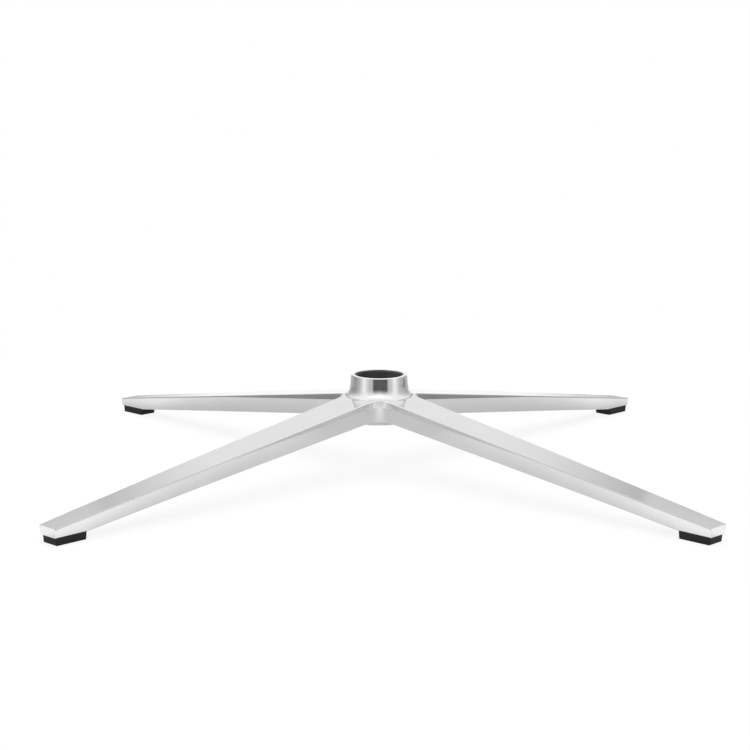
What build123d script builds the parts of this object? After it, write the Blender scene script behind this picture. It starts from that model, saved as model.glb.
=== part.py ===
from build123d import *
import os
from math import atan, cos, degrees, radians, sin, tan

# Chair base with four arms: one polished casting, a black sleeve in its hub and four black feet.
# Millimetres. The origin is on the floor under the hub axis, +Z is up, and the arms point between
# the X and Y axes, so that the front (-Y) looks in between two of them.

# Arms
ARM_REACH = 350.0            # hub axis to the end face of an arm
ARM_TOP_ROOT = 68.5          # height of the arm tops, continued to the hub axis
ARM_TOP_TIP = 13.5           # height of the arm tops at the end face
ARM_UNDER_ROOT = 48.3        # height of the arm undersides, continued to the hub axis
ARM_WIDTH_ROOT = 37.5        # plan width of the upright band, continued to the hub axis
ARM_WIDTH_TIP = 23.8         # plan width of the upright band, continued to the end face
NECK_FROM_TIP = 110.0        # end face back to the place where the upright band has run out
UNDER_WIDTH_ROOT = 30.8      # underside width at the hub axis
UNDER_WIDTH_MID = 23.8       # underside width half way to the neck
UNDER_WIDTH_NECK = 18.4      # underside width at the neck
UNDER_WIDTH_TIP = 18.2       # underside width at the end face
LEAN_ROOT = 14.0             # lean of the lower side faces, in degrees from upright
LEAN_MID = 17.6              # degrees
LEAN_NECK = 18.0             # degrees
LEAN_TIP = 7.0               # degrees
CORNER_RADIUS = 14.0         # hollow corner between two neighbouring arms
EDGE_BREAK = 0.6             # broken top edges

# Hub
HUB_DIAMETER = 48.4          # at the rim
HUB_TOP = 82.4
HUB_BOTTOM = 41.7
HUB_DRAFT = 4.0              # degrees, collar wider towards the arms
HUB_FLARE = 6.5              # hollow radius from the collar into the arm tops
HUB_EDGE_BREAK = 0.5         # outer edges at the rim and at the lower end
SLEEVE_SEAT = 3.0            # thickness of the lip that carries the sleeve
SLEEVE_SEAT_RELIEF = 0.6     # lip's inner edge clear of the column

# Hollow underside
SIDE_WALL = 3.0
TOP_WALL = 4.0
HOLLOW_DRAFT = 2.0           # degrees
HOLLOW_FROM_HUB = 12.0       # hub wall to the inner end of the hollow
HOLLOW_END_WALL = 9.0        # metal between the hollow and the flat seat of the foot
RIB_THICKNESS = 2.5
RIB_COUNT = 4

# Sleeve for the column
COLUMN_DIAMETER = 38.0
SLEEVE_WALL = 1.9
SLEEVE_CLEARANCE = 0.1
SLEEVE_RECESS = 0.6          # sleeve top below the hub rim
SLEEVE_LEAD_IN = 0.6

# Feet
PAD_LENGTH = 27.2            # on the floor
PAD_WIDTH = 17.1             # on the floor
PAD_HEIGHT = 6.2
PAD_DRAFT = 5.0              # degrees, wider towards the arm
PAD_SETBACK = 1.9            # end face of the arm to the floor edge of the pad
PAD_CORNER = 1.2             # rounded corners
SEAT_MARGIN = 2.0            # flat seat inwards of the pad

# Foot screws
SCREW_DIAMETER = 4.0
SCREW_HEAD = 7.6
SCREW_HEAD_ANGLE = 90.0      # countersink, in degrees
SCREW_RECESS = 1.4           # screw head above the floor
SCREW_GRIP = 5.0             # length held in the casting
SCREW_HOLE_SPARE = 1.0       # blind hole beyond the screw's end
SCREW_CLEARANCE = 0.15
SOCKET_ACROSS = 2.5
SOCKET_DEPTH = 1.3

# Worked out from the values above
OVERRUN = 5.0
HUB_RADIUS = HUB_DIAMETER / 2
COLUMN_RADIUS = COLUMN_DIAMETER / 2
SLEEVE_RADIUS = COLUMN_RADIUS + SLEEVE_WALL
SLEEVE_FOOT = HUB_BOTTOM + SLEEVE_SEAT
PAD_GROWTH = PAD_HEIGHT * tan(radians(PAD_DRAFT))
PAD_CENTRE = ARM_REACH - PAD_SETBACK - PAD_LENGTH / 2
SEAT_START = PAD_CENTRE - PAD_LENGTH / 2 - PAD_GROWTH - SEAT_MARGIN
NECK = ARM_REACH - NECK_FROM_TIP
HOLLOW_START = HUB_RADIUS + HOLLOW_FROM_HUB
HOLLOW_END = SEAT_START - HOLLOW_END_WALL
SHANK_RADIUS = SCREW_DIAMETER / 2
HEAD_RADIUS = SCREW_HEAD / 2
TOP_SLOPE = (ARM_TOP_ROOT - ARM_TOP_TIP) / ARM_REACH
UNDER_SLOPE = (ARM_UNDER_ROOT - PAD_HEIGHT) / SEAT_START
ARM_ANGLES = {"front_right": -45, "back_right": 45, "back_left": 135, "front_left": -135}

# Underside width and side lean at four stations along an arm
STATIONS = [
    (0.0, UNDER_WIDTH_ROOT, LEAN_ROOT),
    (NECK / 2, UNDER_WIDTH_MID, LEAN_MID),
    (NECK, UNDER_WIDTH_NECK, LEAN_NECK),
    (ARM_REACH + OVERRUN, UNDER_WIDTH_TIP, LEAN_TIP),
]


def top_height(along):
    """Height of an arm's top face at a distance from the hub axis."""
    return ARM_TOP_ROOT - TOP_SLOPE * along


def under_height(along):
    """Height of an arm's underside at a distance from the hub axis, before the flat seat."""
    return ARM_UNDER_ROOT - UNDER_SLOPE * along


def under_half_width(along):
    """Half the underside width, straight between the stations."""
    for (start, width, _), (end, next_width, _) in zip(STATIONS, STATIONS[1:]):
        if along <= end:
            break
    share = (along - start) / (end - start)
    return (width + (next_width - width) * share) / 2


def cross_section(along, low, high, half_low, half_high):
    """Trapezoid across an arm that lies along +X."""
    corners = [(-half_low, low), (half_low, low), (half_high, high), (-half_high, high)]
    plane = Plane(origin=(along, 0, 0), x_dir=(0, 1, 0), z_dir=(1, 0, 0))
    return plane * make_face(Polyline(*corners, close=True))


def upright_cylinder(radius, low, high):
    """Cylinder on the Z axis between two heights."""
    return extrude(Plane.XY.offset(low) * Circle(radius), high - low)


def on_all_arms(shape):
    """Copies of a shape, made along +X, on the four arms."""
    return [Rot(0, 0, angle) * shape for angle in ARM_ANGLES.values()]


def axis_distance(edge):
    """Distance of an edge's middle from the hub axis."""
    middle = edge.position_at(0.5)
    return (middle.X ** 2 + middle.Y ** 2) ** 0.5


def is_steep(edge):
    """Whether an edge climbs for most of its length."""
    return abs(edge.position_at(1).Z - edge.position_at(0).Z) > edge.length / 2


def outline_prism(inset=0.0):
    """Upright walls of the four arms and the hollow corners between them, drawn in by an inset."""
    root = ARM_WIDTH_ROOT / 2 - inset
    tip = ARM_WIDTH_TIP / 2 - inset
    reach = ARM_REACH - inset
    arm = make_face(Polyline((0, -root), (reach, -tip), (reach, tip), (0, root), close=True))
    outline = Sketch() + on_all_arms(arm)
    inner = outline.vertices().sort_by_distance((0, 0, 0))[:len(ARM_ANGLES)]
    outline = fillet(inner, CORNER_RADIUS + inset)
    return Pos(0, 0, PAD_HEIGHT) * extrude(outline, HUB_TOP - PAD_HEIGHT)


def below_slopes(height_along):
    """Everything below four slopes that fall along the arms: two crossed roofs that meet as a low pyramid."""
    reach = ARM_REACH + OVERRUN
    eaves = height_along(reach)
    gable = Polyline((-reach, -HUB_TOP), (reach, -HUB_TOP), (reach, eaves), (0, height_along(0)), (-reach, eaves),
                     close=True)
    roof = extrude(Plane.XZ * make_face(gable), reach, both=True)
    return Rot(0, 0, 45) * roof & Rot(0, 0, -45) * roof


def leaning_outline(height):
    """Plan of the leaning sides of the four arms at a height, with round hollow corners between them."""
    halves = []
    for along, width, lean in STATIONS:
        halves.append(width / 2 + (height - under_height(along)) * tan(radians(lean)))
    stations = [along for along, _, _ in STATIONS]
    right = [(along, -half) for along, half in zip(stations, halves)]
    left = [(along, half) for along, half in zip(stations, halves)]
    outline = Sketch() + on_all_arms(make_face(Polyline(*right, *reversed(left), close=True)))
    inner = outline.vertices().sort_by_distance((0, 0, 0))[:len(ARM_ANGLES)]
    return Pos(0, 0, height) * fillet(inner, CORNER_RADIUS + ARM_WIDTH_ROOT / 2 - halves[0])


def leaning_sides():
    """Four arm bodies whose lower side faces lean in towards the underside."""
    return loft([leaning_outline(0), leaning_outline(HUB_TOP)], ruled=True) - below_slopes(under_height)


def break_top_edges(body):
    """Break the outer edges of the sloping arm tops."""
    tops = [face for face in body.faces() if 0.9 < face.normal_at().Z < 0.9999]
    rims = [edge for face in tops for edge in face.edges() if axis_distance(edge) > HUB_RADIUS]
    return chamfer(rims, EDGE_BREAK)


def hub_collar():
    """Drafted collar with a hollow flare that runs out along the slope of the arm tops."""
    slope = atan(TOP_SLOPE)
    draft = radians(HUB_DRAFT)
    from_wall = HUB_RADIUS * cos(draft) + HUB_TOP * sin(draft) + HUB_FLARE
    from_top = ARM_TOP_ROOT * cos(slope) + HUB_FLARE
    centre_x = (from_wall * cos(slope) - from_top * sin(draft)) / cos(draft + slope)
    centre_z = (from_top * cos(draft) - from_wall * sin(slope)) / cos(draft + slope)
    flare = CenterArc((centre_x, centre_z), HUB_FLARE, 180 + HUB_DRAFT, 90 - HUB_DRAFT - degrees(slope))
    foot = flare @ 1
    waist = foot.Y - SIDE_WALL
    walls = Polyline(foot, (foot.X, waist), (HUB_RADIUS, waist), (HUB_RADIUS, HUB_BOTTOM), (0, HUB_BOTTOM),
                     (0, HUB_TOP), (HUB_RADIUS, HUB_TOP), flare @ 0)
    collar = revolve(Plane.XZ * make_face([flare, walls]), Axis.Z)
    rings = collar.edges().filter_by(GeomType.CIRCLE).sort_by(Axis.Z)
    return chamfer([rings[0], rings[-1]], HUB_EDGE_BREAK)


def hub_bore():
    """Bore for the sleeve, with a lip at its lower end."""
    bore = upright_cylinder(SLEEVE_RADIUS + SLEEVE_CLEARANCE, SLEEVE_FOOT, HUB_TOP + OVERRUN)
    return bore + upright_cylinder(COLUMN_RADIUS + SLEEVE_SEAT_RELIEF, HUB_BOTTOM - OVERRUN, SLEEVE_FOOT)


def hollow():
    """Open channel under an arm that lies along +X, left in bays by cross ribs."""
    sections = []
    for along in (HOLLOW_START, NECK / 2, NECK, HOLLOW_END):
        low = under_height(along) - OVERRUN
        high = top_height(along) - TOP_WALL
        half = under_half_width(along) - SIDE_WALL
        taper = (high - low) * tan(radians(HOLLOW_DRAFT))
        sections.append(cross_section(along, low, high, half, half - taper))
    channel = loft(sections, ruled=True)
    pitch = (HOLLOW_END - HOLLOW_START + RIB_THICKNESS) / (RIB_COUNT + 1)
    for index in range(1, RIB_COUNT + 1):
        middle = HOLLOW_START + index * pitch - RIB_THICKNESS / 2
        channel -= Pos(middle, 0, HUB_TOP / 2) * Box(RIB_THICKNESS, ARM_WIDTH_ROOT, 2 * HUB_TOP)
    return channel


def screw_hole():
    """Blind hole for the foot screw of an arm that lies along +X."""
    depth = SCREW_GRIP + SCREW_HOLE_SPARE
    hole = upright_cylinder(SHANK_RADIUS + SCREW_CLEARANCE, PAD_HEIGHT, PAD_HEIGHT + depth)
    return Pos(PAD_CENTRE, 0, 0) * hole


def base_casting():
    """Hub and four arms, cast in one."""
    top = below_slopes(top_height)
    body = break_top_edges(outline_prism() & top) & break_top_edges(leaning_sides() & top)
    body += hub_collar() & outline_prism(EDGE_BREAK)
    body -= hub_bore()
    return body - on_all_arms(hollow()) - on_all_arms(screw_hole())


def column_sleeve():
    """Black tube that stands on the lip of the hub bore."""
    high = HUB_TOP - SLEEVE_RECESS
    tube = upright_cylinder(SLEEVE_RADIUS, SLEEVE_FOOT, high) - upright_cylinder(COLUMN_RADIUS, SLEEVE_FOOT, high)
    mouth = tube.edges().filter_by(GeomType.CIRCLE).group_by(Axis.Z)[-1].sort_by(SortBy.RADIUS)[0]
    return chamfer(mouth, SLEEVE_LEAD_IN)


def countersink_height(radius):
    """Height of the countersunk face at a radius from the screw's axis."""
    return SCREW_RECESS + (HEAD_RADIUS - radius) / tan(radians(SCREW_HEAD_ANGLE / 2))


def foot_screw():
    """Countersunk screw with a hexagon socket, its head down, in an arm that lies along +X."""
    end = PAD_HEIGHT + SCREW_GRIP
    half = Polyline((0, SCREW_RECESS), (HEAD_RADIUS, SCREW_RECESS), (SHANK_RADIUS, countersink_height(SHANK_RADIUS)),
                    (SHANK_RADIUS, end), (0, end), close=True)
    socket = Plane.XY.offset(SCREW_RECESS) * RegularPolygon(SOCKET_ACROSS / 2, 6, major_radius=False)
    screw = revolve(Plane.XZ * make_face(half), Axis.Z) - extrude(socket, SOCKET_DEPTH)
    return Pos(PAD_CENTRE, 0, 0) * screw


def pad_wedge(plane, length):
    """Block across an upright plane, with a length on the floor that grows upwards by the draft of the pads."""
    low = length / 2
    high = low + PAD_GROWTH
    side = Polyline((-low, 0), (low, 0), (high, PAD_HEIGHT), (-high, PAD_HEIGHT), close=True)
    return extrude(plane * make_face(side), PAD_LENGTH, both=True)


def foot_pad():
    """Tapered black pad with a countersunk hole, under the tip of an arm that lies along +X."""
    pad = pad_wedge(Plane.XZ, PAD_LENGTH) & pad_wedge(Plane.YZ, PAD_WIDTH)
    pad = fillet([edge for edge in pad.edges() if is_steep(edge)], PAD_CORNER)
    wide = HEAD_RADIUS + SCREW_CLEARANCE
    narrow = SHANK_RADIUS + SCREW_CLEARANCE
    above = PAD_HEIGHT + OVERRUN
    half = Polyline((0, -OVERRUN), (wide, -OVERRUN), (wide, countersink_height(wide)),
                    (narrow, countersink_height(narrow)), (narrow, above), (0, above), close=True)
    return Pos(PAD_CENTRE, 0, 0) * (pad - revolve(Plane.XZ * make_face(half), Axis.Z))


def save(node, shape):
    """Write one piece to its own file."""
    shape.label = node
    export_step(shape, f"parts/{node}.step")


if __name__ == "__main__":
    os.makedirs("parts", exist_ok=True)
    save("base_casting", base_casting())
    save("column_sleeve", column_sleeve())
    for place, angle in ARM_ANGLES.items():
        save(f"foot_pad_{place}", Rot(0, 0, angle) * foot_pad())
    save("foot_screws", Part() + on_all_arms(foot_screw()))
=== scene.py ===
"""Four-armed chair base in its studio: polished casting, black column sleeve, black floor pads, screws."""

import logging
from dataclasses import dataclass, field
from enum import Enum
from math import cos, pi, radians, sin, sqrt, tan
from typing import Generic, TypeVar

import bmesh
import bpy
import numpy as np
from bpy.types import ID, Material, Mesh, Node, NodeOutputs, NodeSocket, Object, World
from mathutils import Matrix
from numpy.typing import NDArray


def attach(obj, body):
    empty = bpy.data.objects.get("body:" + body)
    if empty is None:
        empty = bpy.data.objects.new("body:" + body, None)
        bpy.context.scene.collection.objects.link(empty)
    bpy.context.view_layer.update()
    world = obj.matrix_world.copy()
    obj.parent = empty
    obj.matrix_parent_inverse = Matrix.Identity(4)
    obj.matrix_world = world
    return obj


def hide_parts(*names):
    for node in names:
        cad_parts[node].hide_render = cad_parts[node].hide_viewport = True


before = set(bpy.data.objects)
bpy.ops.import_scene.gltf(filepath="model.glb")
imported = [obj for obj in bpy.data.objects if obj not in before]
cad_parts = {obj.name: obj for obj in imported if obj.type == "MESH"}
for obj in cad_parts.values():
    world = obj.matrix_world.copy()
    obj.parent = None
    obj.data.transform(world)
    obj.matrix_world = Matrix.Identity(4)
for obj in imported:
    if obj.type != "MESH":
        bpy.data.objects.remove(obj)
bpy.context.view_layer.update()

Array = NDArray[np.float64]
Indices = NDArray[np.int64]
Pair = tuple[float, float]
Triple = tuple[float, float, float]
Owner = TypeVar("Owner", Material, World)

MM = 0.001
BODY = "root"
LAY = "lay"  # point attribute: place in the arm's own directions, along, across and up
# This point attribute sets the roughness, and above a half it also paints the darker band colour: painted
# shade for the darker surroundings that the upright bands, the outer top edges and the lower boss reflect.
SATIN_AND_PAINTED_SHADE = "satin_and_painted_shade"  # point attribute: 0 on mirror-polished faces, 1 on the upright bands
SHADE = "shade"  # point attribute of the floor strips: strength of the shade
HALF_SATIN = 0.5  # satin share of the leaning faces and the underside
WELD = 0.002 * MM
FOOT_CENTRE = 334.5 * MM  # middle of each pad and its screw, from the hub axis
NOISE_RANGE = (0.3, 0.7)  # values between which a noise texture mostly stays
NORMAL_WEIGHT = 100  # the highest: normals follow the large faces
WHITE = (1.0, 1.0, 1.0, 1.0)
log = logging.getLogger("chair_base")


class Arm(Enum):
    """The four arms, by the direction that each points in, in degrees from +X."""

    FRONT_RIGHT = -45
    BACK_RIGHT = 45
    BACK_LEFT = 135
    FRONT_LEFT = -135

    @property
    def place(self) -> str:
        """The arm's name as the nodes spell it."""
        return self.name.lower()

    def turned(self, local: Array) -> Array:
        """Turn points from the arm's own directions to the frame's.

        Args:
            local: Points, the last axis along, across and up.

        Returns:
            The same points in the frame.
        """
        angle = radians(self.value)
        turn = np.array([[cos(angle), -sin(angle), 0.0], [sin(angle), cos(angle), 0.0], [0.0, 0.0, 1.0]])
        return local @ turn.T


def stack(*coordinates: Array) -> Array:
    """Join coordinate arrays, spread to one shape, along a new last axis."""
    return np.stack(np.broadcast_arrays(*coordinates), axis=-1).astype(float)


def smooth_step(share: Array) -> Array:
    """Three squares less two cubes of a share that is held between 0 and 1."""
    share = np.clip(share, 0.0, 1.0)
    return share * share * (3 - 2 * share)


def grid_quads(rows: int, columns: int, ring: bool = False) -> Indices:
    """Point numbers of the quads between neighbouring rows and columns of a grid.

    Args:
        rows: Number of rows.
        columns: Number of columns.
        ring: Whether the last column joins the first.

    Returns:
        Point numbers, shape (quads, 4).
    """
    number = np.arange(rows * columns).reshape(rows, columns)
    beside = np.roll(number, -1, axis=1) if ring else number[:, 1:]
    first = number if ring else number[:, :-1]
    return np.stack([first[:-1], beside[:-1], beside[1:], first[1:]], axis=-1).reshape(-1, 4)


def new_mesh(name: str, points: Array, quads: Indices) -> Mesh:
    """Make a mesh of points and quads.

    Args:
        name: The mesh's name.
        points: Points, the last axis X, Y and Z.
        quads: Point numbers of the quads.

    Returns:
        The mesh.
    """
    mesh = bpy.data.meshes.new(name)
    mesh.from_pydata(points.reshape(-1, 3), [], quads)
    return mesh


def new_object(name: str, data: ID) -> Object:
    """Make an object at the origin and link it to the scene.

    Args:
        name: The object's name.
        data: Its mesh, lamp or camera.

    Returns:
        The object.
    """
    item = bpy.data.objects.new(name, data)
    bpy.context.scene.collection.objects.link(item)
    return item


def shade_smooth(mesh: Mesh) -> None:
    """Shade all faces of a mesh smooth."""
    mesh.polygons.foreach_set("use_smooth", np.ones(len(mesh.polygons), dtype=bool))


def set_attribute(mesh: Mesh, name: str, values: Array) -> None:
    """Store a number or a vector at each point of a mesh.

    Args:
        mesh: The mesh.
        name: The attribute's name.
        values: Numbers, shape (points,), or vectors, shape (points, 3).
    """
    kind, key = ("FLOAT", "value") if values.ndim == 1 else ("FLOAT_VECTOR", "vector")
    layer = mesh.attributes.new(name, kind, "POINT")
    layer.data.foreach_set(key, values.astype(np.float32).ravel())


class Patchwork:
    """Grids of points gathered into one mesh, welded where they meet."""

    def __init__(self) -> None:
        """Start with no grid."""
        self.points: list[Array] = []
        self.lays: list[Array] = []
        self.satin_and_painted_shade_shares: list[Array] = []
        self.quads: list[Indices] = []

    def add(self, grid: Array, lay: Array, satin_and_painted_shade: Array | float = 0.0, ring: bool = False) -> None:
        """Add one grid, with a quad between each two neighbouring rows and columns.

        Args:
            grid: Points in the frame, shape (rows, columns, 3).
            lay: The same points in the piece's own directions.
            satin_and_painted_shade: How rough the finish is and how much shade is painted on it, for all
                points, for each row or for each point.
            ring: Whether the last column joins the first.
        """
        rows, columns = grid.shape[:2]
        self.quads.append(sum(map(len, self.points)) + grid_quads(rows, columns, ring))
        self.points.append(grid.reshape(-1, 3))
        self.lays.append(lay.reshape(-1, 3))
        self.satin_and_painted_shade_shares.append(np.broadcast_to(satin_and_painted_shade, (rows, columns)).ravel())

    def add_on_arms(self, local: Array, satin_and_painted_shade: Array | float = 0.0, ring: bool = False) -> None:
        """Add a grid on all four arms: a ring once, and any other grid with its mirror image.

        Args:
            local: Points in an arm's own directions, shape (rows, columns, 3).
            satin_and_painted_shade: How rough the finish is and how much shade is painted on it, for all
                points, for each row or for each point.
            ring: Whether the last column joins the first.
        """
        for arm in Arm:
            for side in (1.0,) if ring else (1.0, -1.0):
                self.add(arm.turned(local * np.array([1.0, side, 1.0])), local, satin_and_painted_shade, ring)

    def piece(self, name: str, sharp_angle: float) -> Object:
        """Make the mesh object: weld, close open ends, turn all faces outwards and shade smooth.

        Args:
            name: The object's name.
            sharp_angle: Edges that bend by more than this stay sharp, in degrees.

        Returns:
            The object, at the origin.
        """
        mesh = new_mesh(name, np.concatenate(self.points), np.concatenate(self.quads))
        set_attribute(mesh, LAY, np.concatenate(self.lays))
        set_attribute(mesh, SATIN_AND_PAINTED_SHADE, np.concatenate(self.satin_and_painted_shade_shares))
        shell = bmesh.new()
        shell.from_mesh(mesh)
        bmesh.ops.remove_doubles(shell, verts=shell.verts, dist=WELD)
        bmesh.ops.dissolve_degenerate(shell, edges=shell.edges, dist=WELD)
        bmesh.ops.holes_fill(shell, edges=[edge for edge in shell.edges if edge.is_boundary], sides=0)
        bmesh.ops.recalc_face_normals(shell, faces=shell.faces)
        shell.to_mesh(mesh)
        shell.free()
        shade_smooth(mesh)
        mesh.set_sharp_from_angle(angle=radians(sharp_angle))
        piece = new_object(name, mesh)
        even = piece.modifiers.new("even_shading", "WEIGHTED_NORMAL")
        even.mode = "FACE_AREA"
        even.weight = NORMAL_WEIGHT
        even.keep_sharp = True
        return piece


def revolved(profile: Array, columns: int) -> Array:
    """Carry a profile round the Z axis: radius and height stay, the angle runs a whole turn.

    Args:
        profile: Radius and height of each row, shape (rows, 2).
        columns: Number of places round the axis.

    Returns:
        Points, shape (rows, columns, 3).
    """
    angle = np.linspace(0.0, 2 * pi, columns, endpoint=False)
    radius = profile[:, :1]
    return stack(radius * np.cos(angle), radius * np.sin(angle), profile[:, 1:])


@dataclass(frozen=True)
class ArmForm:
    """One arm, measured along it from the hub axis."""

    reach: float = 350 * MM
    top_root: float = 68.5 * MM
    top_tip: float = 13.5 * MM
    under_root: float = 48.3 * MM
    seat_start: float = 318.36 * MM
    seat_height: float = 6.2 * MM
    width_root: float = 37.5 * MM
    width_tip: float = 23.8 * MM
    stations: tuple[float, ...] = (0.0, 120 * MM, 240 * MM, 355 * MM)
    under_widths: tuple[float, ...] = (30.8 * MM, 23.8 * MM, 18.4 * MM, 18.2 * MM)
    leans: tuple[float, ...] = (14.0, 17.6, 18.0, 7.0)
    edge_round_root: float = 0.9 * MM
    edge_round: float = 0.3 * MM
    edge_strip: float = 0.8 * MM
    edge_fade: Pair = (60 * MM, 200 * MM)
    foot_round: float = 0.4 * MM
    least_round: float = 0.04 * MM
    hollow_start: float = 36.2 * MM
    hollow_end: float = 309.36 * MM
    side_wall: float = 3.17 * MM
    top_wall: float = 4.0 * MM
    hollow_draft: float = 2.0
    rib_thickness: float = 2.5 * MM
    rib_count: int = 4
    top_shares: tuple[float, ...] = (0.0, 0.25, 0.5, 0.75, 0.93)
    bay_steps: int = 9
    edge_steps: int = 6
    crease_steps: int = 2
    foot_steps: int = 3
    under_steps: int = 5
    tip_steps: int = 5

    @property
    def top_slope(self) -> float:
        """Fall of the arm's top for each metre along it."""
        return (self.top_root - self.top_tip) / self.reach

    def top(self, along: Array) -> Array:
        """Height of the flat top, a plane that falls towards the tip."""
        return self.top_root - self.top_slope * along

    def under(self, along: Array) -> Array:
        """Height of the underside, a plane that falls to the flat seat of the pad."""
        fall = (self.under_root - self.seat_height) / self.seat_start
        return np.maximum(self.seat_height, self.under_root - fall * along)

    def upright_half(self, along: Array) -> Array:
        """Half the width between the upright bands, straight from root to tip."""
        return (self.width_root + (self.width_tip - self.width_root) * along / self.reach) / 2

    def under_half(self, along: Array) -> Array:
        """Half the width of the underside, a cubic through the stations."""
        return np.polyval(np.polyfit(self.stations, self.under_widths, 3), along) / 2

    def lean(self, along: Array) -> Array:
        """Lean of the lower side from upright, a cubic through the stations."""
        return np.radians(np.polyval(np.polyfit(self.stations, self.leans, 3), along))

    def edge_share(self, along: Array) -> Array:
        """Share of the outer arm's kind of top edge, a smooth step from 0 near the hub to 1."""
        start, end = self.edge_fade
        return smooth_step((along - start) / (end - start))

    def top_edge(self, along: Array) -> Array:
        """Radius of the rounded top edge, which gets smaller away from the hub."""
        return self.edge_round_root + (self.edge_round - self.edge_round_root) * self.edge_share(along)

    def side(self, along: Array, inset: Array) -> tuple[Array, Array]:
        """Side of the section, from the edge of the flat top to the edge of the underside.

        A quarter circle rounds the top edge, a straight upright band follows, a short arc of the same
        radius turns into the leaning wall, and a small arc ends it at the underside. Where the crease has
        reached the top, only a narrow strip is left of the upright band.

        Args:
            along: Distance of each section from the hub axis.
            inset: How far each section is drawn in, for the rounded tip.

        Returns:
            Half-widths and heights, each of shape (sections, rows).
        """
        along, inset = along[:, None], inset[:, None]
        lean = self.lean(along)
        half, under = self.upright_half(along) - inset, self.under_half(along) - inset
        high, low = self.top(along) - inset, self.under(along) + inset
        edge = np.maximum(self.top_edge(along) - inset, self.least_round)
        foot = np.maximum(self.foot_round - inset, self.least_round)
        upper = high - edge
        strip = upper - self.edge_strip * self.edge_share(along)
        wide = under + np.tan(lean) * (strip - edge * np.tan(lean / 2) - low)
        centre = np.minimum(half, wide) - edge
        crease = low + (half - under) / np.tan(lean)
        lower = np.minimum(strip, crease + edge * np.tan(lean / 2))
        foot_centre = under - foot / np.tan((pi / 2 + lean) / 2)
        round_off = np.linspace(pi / 2, 0.0, self.edge_steps + 1)
        bend = -lean * np.linspace(0.0, 1.0, self.crease_steps + 1)
        close = -lean - (pi / 2 - lean) * np.linspace(0.0, 1.0, self.foot_steps + 1)
        arcs = (
            (centre, upper, edge, round_off),
            (centre, lower, edge, bend),
            (foot_centre, low + foot, foot, close),
        )
        widths = [across + radius * np.cos(angle) for across, _, radius, angle in arcs]
        heights = [up + radius * np.sin(angle) for _, up, radius, angle in arcs]
        return np.concatenate(widths, axis=1), np.concatenate(heights, axis=1)

    def side_satin_and_painted_shade(self, along: Array) -> Array:
        """Satin share of the side: all on the upright band, half below the crease, none on the top edge.

        Away from the hub the top edge takes the upright band's share, its roughness and its painted shade,
        which darkens it into a thin dark line. Where the share is above a half, the darker band colour is
        painted shade.

        Args:
            along: Distance of each section from the hub axis.

        Returns:
            Shares, shape (sections, rows).
        """
        edge = np.linspace(0.0, 1.0, self.edge_steps + 1)
        edge = np.maximum(edge, self.edge_share(along)[:, None])
        crease = np.linspace(1.0, HALF_SATIN, self.crease_steps + 1)
        below = np.append(crease, np.full(self.foot_steps + 1, HALF_SATIN))
        return np.concatenate([edge, np.broadcast_to(below, (len(along), len(below)))], axis=1)

    def section_satin_and_painted_shade(self, along: Array) -> Array:
        """Satin share of whole half sections: none on the flat top, the side's share with its painted shade,
        half on the underside.

        Args:
            along: Distance of each section from the hub axis.

        Returns:
            Shares, shape (sections, points).
        """
        top = np.zeros((len(along), len(self.top_shares)))
        under = np.full((len(along), self.under_steps), HALF_SATIN)
        return np.concatenate([top, self.side_satin_and_painted_shade(along), under], axis=1)

    def hollow_halves(self, along: Array, inset: Array) -> Array:
        """Half-widths of the underside's points, from its edge to the middle, over the hollow's two corners.

        Args:
            along: Distance of each section from the hub axis.
            inset: How far each section is drawn in.

        Returns:
            Half-widths, shape (sections, points), the edge itself left out.
        """
        edge = self.side(along, inset)[0][:, -1]
        mouth = self.under_half(along) - self.side_wall
        depth = self.top(along) - self.top_wall - self.under(along)
        roof = mouth - depth * tan(radians(self.hollow_draft))
        return stack((edge + mouth) / 2, mouth, roof, roof / 2, np.zeros_like(roof))

    def half_section(self, along: Array, inset: Array, hollow: Array) -> Array:
        """Half of each section, from the middle of the top round to the middle of the underside.

        Args:
            along: Distance of each section from the hub axis.
            inset: How far each section is drawn in.
            hollow: 1 where the section is hollow below, 0 where it is solid.

        Returns:
            Points along, across and up, shape (sections, points, 3).
        """
        across, up = self.side(along, inset)
        top_across = across[:, :1] * np.array(self.top_shares)
        top_up = np.repeat(up[:, :1], len(self.top_shares), axis=1)
        low = up[:, -1:]
        roof = low + hollow[:, None] * (self.top(along)[:, None] - self.top_wall - low)
        return stack(
            along[:, None],
            np.concatenate([top_across, across, self.hollow_halves(along, inset)], axis=1),
            np.concatenate([top_up, up, low, low, roof, roof, roof], axis=1),
        )

    def sections(self) -> tuple[Array, Array, Array]:
        """Places of the sections: bays between ribs, the solid end and the rounded tip.

        Returns:
            Distances along the arm, insets and hollow flags of the sections in order.
        """
        pitch = (self.hollow_end - self.hollow_start + self.rib_thickness) / (self.rib_count + 1)
        along, hollow = [], []
        for bay in range(self.rib_count + 1):
            start = self.hollow_start + bay * pitch
            inside = np.linspace(start, start + pitch - self.rib_thickness, self.bay_steps)
            along.append(np.concatenate([inside[:1], inside, inside[-1:]]))
            hollow.append(np.concatenate([[0.0], np.ones(self.bay_steps), [0.0]]))
        end = np.linspace(self.hollow_end, self.reach - self.edge_round, self.bay_steps)
        turn = np.linspace(0.0, pi / 2, self.tip_steps + 1)[1:]
        along.append(np.sort(np.append(end[1:], self.seat_start)))
        straight = sum(map(len, along))
        along.append(self.reach - self.edge_round * (1 - np.sin(turn)))
        inset = np.concatenate([np.zeros(straight), self.edge_round * (1 - np.cos(turn))])
        hollow.append(np.zeros(len(inset) - sum(map(len, hollow))))
        return np.concatenate(along), inset, np.concatenate(hollow)

    def half_arm(self) -> Array:
        """Half an arm from the hollow's start to the tip: the half section carried along the arm."""
        return self.half_section(*self.sections())


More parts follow.
